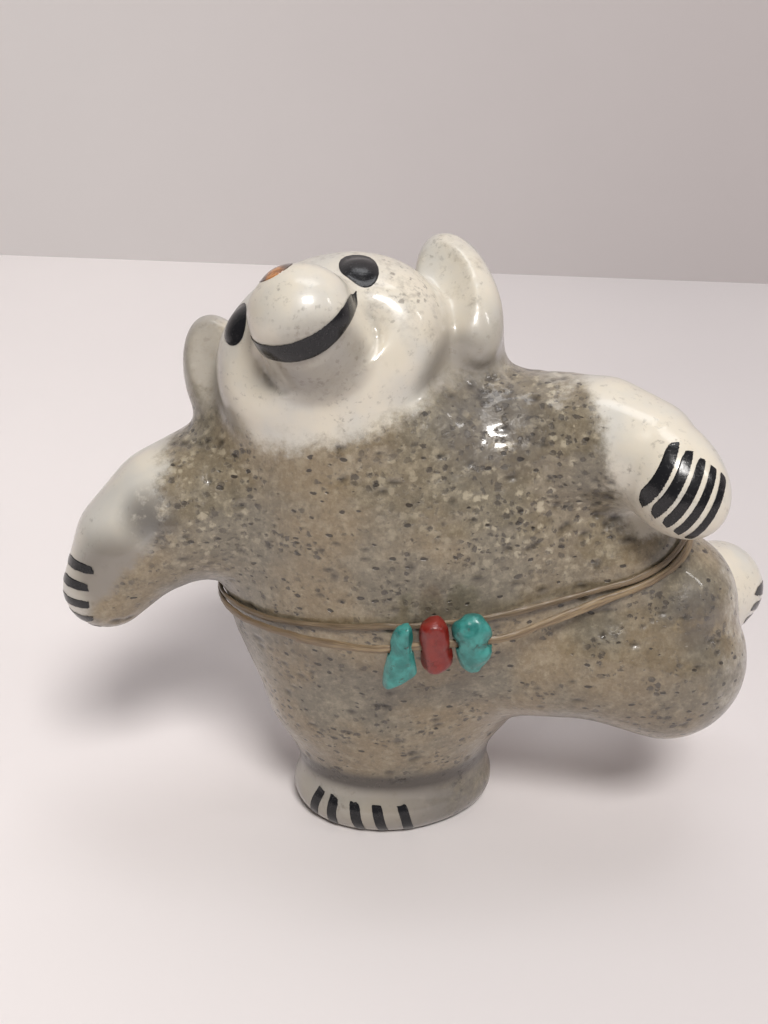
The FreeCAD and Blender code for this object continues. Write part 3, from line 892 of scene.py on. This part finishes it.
def build_cord(surface, pale_sinew, dark_sinew):
    lower_line = settle(turn_line("cord_lower_turn"), surface, clearance=0.24)
    upper_line = settle(turn_line("cord_upper_turn"), surface, clearance=0.2)
    lower = strand_mesh(lower_line, surface, radius=0.36, flatten=0.58, grooves=7, twist=0.5, seed=41)
    upper = strand_mesh(upper_line, surface, radius=0.27, flatten=0.62, grooves=6, twist=0.5, seed=43)
    knot = knot_mesh(surface)
    finished_piece("sinew_lower_turn", lower, "figure", pale_sinew, ["cord_lower_turn"])
    finished_piece("sinew_upper_turn", upper, "figure", dark_sinew, ["cord_upper_turn"])
    finished_piece("sinew_knot", knot, "figure", dark_sinew, ["cord_knot"])


# ---------------------------------------------------------------- nuggets

BEAD_START = np.array((-2.0, -13.4, 24.15))
BEAD_END = np.array((8.8, -13.4, 25.25))
BEAD_RUN = (BEAD_END - BEAD_START) / np.linalg.norm(BEAD_END - BEAD_START)


def rounded(unit, first, second, amount):
    """How much to draw in the corners of a block, seen along the third axis."""
    square = np.maximum(np.abs(unit[:, first]), np.abs(unit[:, second]))
    return (square / np.maximum(np.hypot(unit[:, first], unit[:, second]), 1e-6)) ** amount


def chip_shape(unit, half):
    """A long shard: wide at the bottom, where it is broken off at a slant, and narrower above."""
    height = unit[:, 2]
    round_plan = rounded(unit, 0, 1, 0.9) - 1
    move = np.zeros_like(unit)
    move[:, 0] = unit[:, 0] * half[0] * (round_plan - 0.06 - 0.34 * height) + 0.42 * height - 0.14
    move[:, 1] = unit[:, 1] * half[1] * (round_plan - 0.22 - 0.10 * height)
    move[:, 2] = np.clip(-height, 0, 1) * (0.75 * unit[:, 0] + 0.1)
    return move


def coral_shape(unit, half):
    """A barrel, a little narrower at the top."""
    height = unit[:, 2]
    round_plan = rounded(unit, 0, 1, 0.7) - 1
    round_face = rounded(unit, 0, 2, 0.35) - 1
    move = np.zeros_like(unit)
    move[:, 0] = unit[:, 0] * half[0] * (round_plan - 0.02 - 0.14 * np.clip(height, 0, 1) ** 2)
    move[:, 1] = unit[:, 1] * half[1] * round_plan
    move[:, 2] = unit[:, 2] * half[2] * (round_face - 0.04) - 0.3 * unit[:, 0] * np.clip(height, 0, 1)
    return move


def lobe_shape(unit, half):
    """A lump with a slight waist and a smaller lower end."""
    height = unit[:, 2]
    move = np.zeros_like(unit)
    fill = 0.30 * np.exp(-((height + 0.12) / 0.2) ** 2)
    side = np.sign(unit[:, 0]) * np.clip(np.abs(unit[:, 0]) * 2, 0, 1)
    move[:, 0] = half[0] * side * fill * 0.5 - unit[:, 0] * half[0] * 0.26 * np.clip(-height, 0, 1)
    move[:, 1] = -unit[:, 1] * half[1] * 0.12 * np.clip(-height, 0, 1)
    return move


def nugget_mesh(name, shape, seed, rough):
    """A tumbled nugget from its CAD solid, with its bore, worn round, shaped and dented."""
    mesh = voxel_shell(cad_copy(name), FINE_VOXEL)
    ring = Neighbours(mesh)
    co = vertex_array(mesh)
    # the bore runs along the cord, so points near its line move only along it
    offset = co - BEAD_START
    off_line = np.linalg.norm(offset - np.outer(offset @ BEAD_RUN, BEAD_RUN), axis=1)
    free = smooth_step(off_line, 0.50, 0.70)
    low, high = co.min(axis=0), co.max(axis=0)
    middle, half = 0.5 * (low + high), 0.5 * (high - low)

    def held(move):
        lengthwise = np.outer(move @ BEAD_RUN, BEAD_RUN)
        return lengthwise + (move - lengthwise) * free[:, None]

    co = co + held(shape((co - middle) / half, half))
    for _ in range(30):
        fill_hollows(mesh, ring, co, free)
    for _ in range(5):
        co += held(0.5 * (ring.mean_points(co) - co))
        ring.rub(co, (0.5 * free)[:, None])
    set_vertices(mesh, co)
    dents = value_noise(co, 1.1, seed) - 0.5 + 0.5 * (value_noise(co, 0.55, seed + 1) - 0.5)
    co = co + held(normal_array(mesh) * (rough * dents)[:, None])
    ring.rub(co, (0.4 * free)[:, None], 2)
    set_vertices(mesh, co)
    return mesh


def build_nuggets(turquoise, coral):
    """Each nugget rides on the body that swings it."""
    left, middle, right = "nugget_turquoise_left", "nugget_coral", "nugget_turquoise_right"
    chip = nugget_mesh(left, chip_shape, seed=51, rough=0.15)
    finished_piece("turquoise_chip", chip, "left_turquoise", turquoise, [left])
    block = nugget_mesh(middle, coral_shape, seed=53, rough=0.24)
    finished_piece("coral_bead", block, "coral", coral, [middle])
    lump = nugget_mesh(right, lobe_shape, seed=57, rough=0.42)
    finished_piece("turquoise_lump", lump, "right_turquoise", turquoise, [right])


# ---------------------------------------------------------------- stage, light and camera, in metres

FLOOR_HALF = 1.5
WALL_NEAR = 0.173
WALL_HEIGHT = 1.0
WALL_TURN = math.radians(-7.5)
FIGURE_MIDDLE = (0.0, 0.0, 0.025)


def stage_plane(name, corners, material):
    mesh = bpy.data.meshes.new(name)
    mesh.from_pydata(corners, [], [(0, 1, 2, 3)])
    mesh.materials.append(material)
    made = bpy.data.objects.new(name, mesh)
    bpy.context.scene.collection.objects.link(made)


def build_stage():
    floor = [(-FLOOR_HALF, -FLOOR_HALF, 0), (FLOOR_HALF, -FLOOR_HALF, 0), (FLOOR_HALF, FLOOR_HALF, 0),
             (-FLOOR_HALF, FLOOR_HALF, 0)]
    stage_plane("floor", floor, paper_material("floor_paper", FLOOR_LIT_LEFT, FLOOR_SHADED_RIGHT, 70.0))
    run = Vector((math.cos(WALL_TURN), math.sin(WALL_TURN), 0)) * FLOOR_HALF
    foot_line = Vector((0, WALL_NEAR, -0.001))
    rise = Vector((0, 0, WALL_HEIGHT))
    wall = [foot_line - run, foot_line + run, foot_line + run + rise, foot_line - run + rise]
    stage_plane("wall", wall, paper_material("wall_paper", WALL_LIT_LEFT, WALL_SHADED_RIGHT, 110.0))


def area_light(name, place, size, power, colour):
    """A rectangular light that faces the figure."""
    data = bpy.data.lights.new(name, "AREA")
    data.shape = "RECTANGLE"
    data.size, data.size_y = size
    data.energy = power
    data.color = colour
    made = bpy.data.objects.new(name, data)
    made.location = place
    made.rotation_euler = (Vector(FIGURE_MIDDLE) - Vector(place)).to_track_quat("-Z", "Y").to_euler()
    bpy.context.scene.collection.objects.link(made)


def build_lights():
    area_light("key", (0.12, -0.46, 0.64), (0.24, 0.17), 5.2, (1.0, 0.97, 0.94))
    area_light("window", (0.30, -0.10, 0.26), (0.03, 0.08), 0.09, (1.0, 0.98, 0.96))
    area_light("overhead", (0.10, 0.16, 0.70), (0.40, 0.40), 1.9, (0.97, 0.98, 1.0))
    world = bpy.data.worlds.new("studio")
    world.use_nodes = True
    background = world.node_tree.nodes["Background"]
    background.inputs["Color"].default_value = STUDIO_AIR
    background.inputs["Strength"].default_value = 0.08
    bpy.context.scene.world = world
    bpy.context.scene.view_settings.view_transform = "Standard"


def build_camera():
    data = bpy.data.cameras.new("camera")
    data.sensor_width = 36.0
    data.lens = 45.7
    data.clip_start = 0.005
    data.clip_end = 10.0
    camera = bpy.data.objects.new("camera", data)
    camera.location = (-0.0009, -0.0999, 0.0805)
    camera.rotation_euler = (math.radians(63.0), 0.0, 0.0)
    bpy.context.scene.collection.objects.link(camera)
    bpy.context.scene.camera = camera


# ---------------------------------------------------------------- building

antler = antler_material()
jet = jet_material()
shell = nose_material()
turquoise = stone_material("turquoise", TURQUOISE_DEEP, TURQUOISE_PALE, TURQUOISE_VEIN, 0.8)
coral = stone_material("red_coral", CORAL_DEEP, CORAL_PALE, CORAL_VEIN, 0.5)
pale_sinew = sinew_material("waxed_sinew_pale", SINEW_LIGHT_PALE, SINEW_LIGHT_DEEP)
dark_sinew = sinew_material("waxed_sinew_dark", SINEW_DARK_PALE, SINEW_DARK_DEEP)

surface = build_body(antler)
build_inlays(surface, jet, shell)
build_cord(surface, pale_sinew, dark_sinew)
build_nuggets(turquoise, coral)
build_stage()
build_lights()
build_camera()
